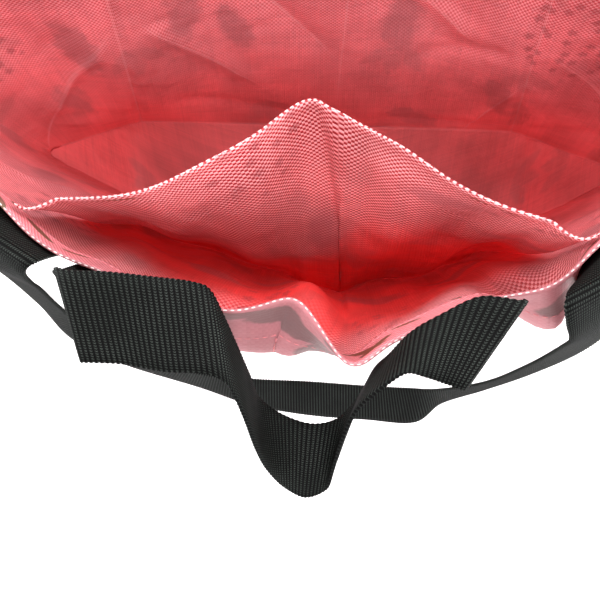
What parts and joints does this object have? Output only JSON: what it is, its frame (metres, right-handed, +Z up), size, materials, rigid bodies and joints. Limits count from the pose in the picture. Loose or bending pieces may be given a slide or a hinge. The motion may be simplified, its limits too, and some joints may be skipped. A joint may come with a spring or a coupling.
{
  "type": "shopping bag",
  "caption": "Open box-bottomed shopping bag sewn from woven rice sack cloth, with an inner pocket and short and long webbing handles.",
  "frame": {"origin": "middle of the flat bottom that the bag stands on", "axes": "+Z up out of the bag's mouth, +X along its width, -Y towards its front, where the pocket is"},
  "size_m": [0.5251, 0.4063, 0.3948],
  "materials": {
    "sack_cloth": "red and white woven plastic tapes under a clear film, lightly glossy",
    "pocket_cloth": "the same woven tapes, redder, lightly glossy",
    "webbing": "black ribbed webbing, matte"
  },
  "bodies": {
    "root": {"sack_body": "sack_cloth", "inner_pocket": "pocket_cloth", "front_short_handle": "webbing", "front_long_handle": "webbing", "back_short_handle": "webbing", "back_long_handle": "webbing"}
  },
  "joints": []
}
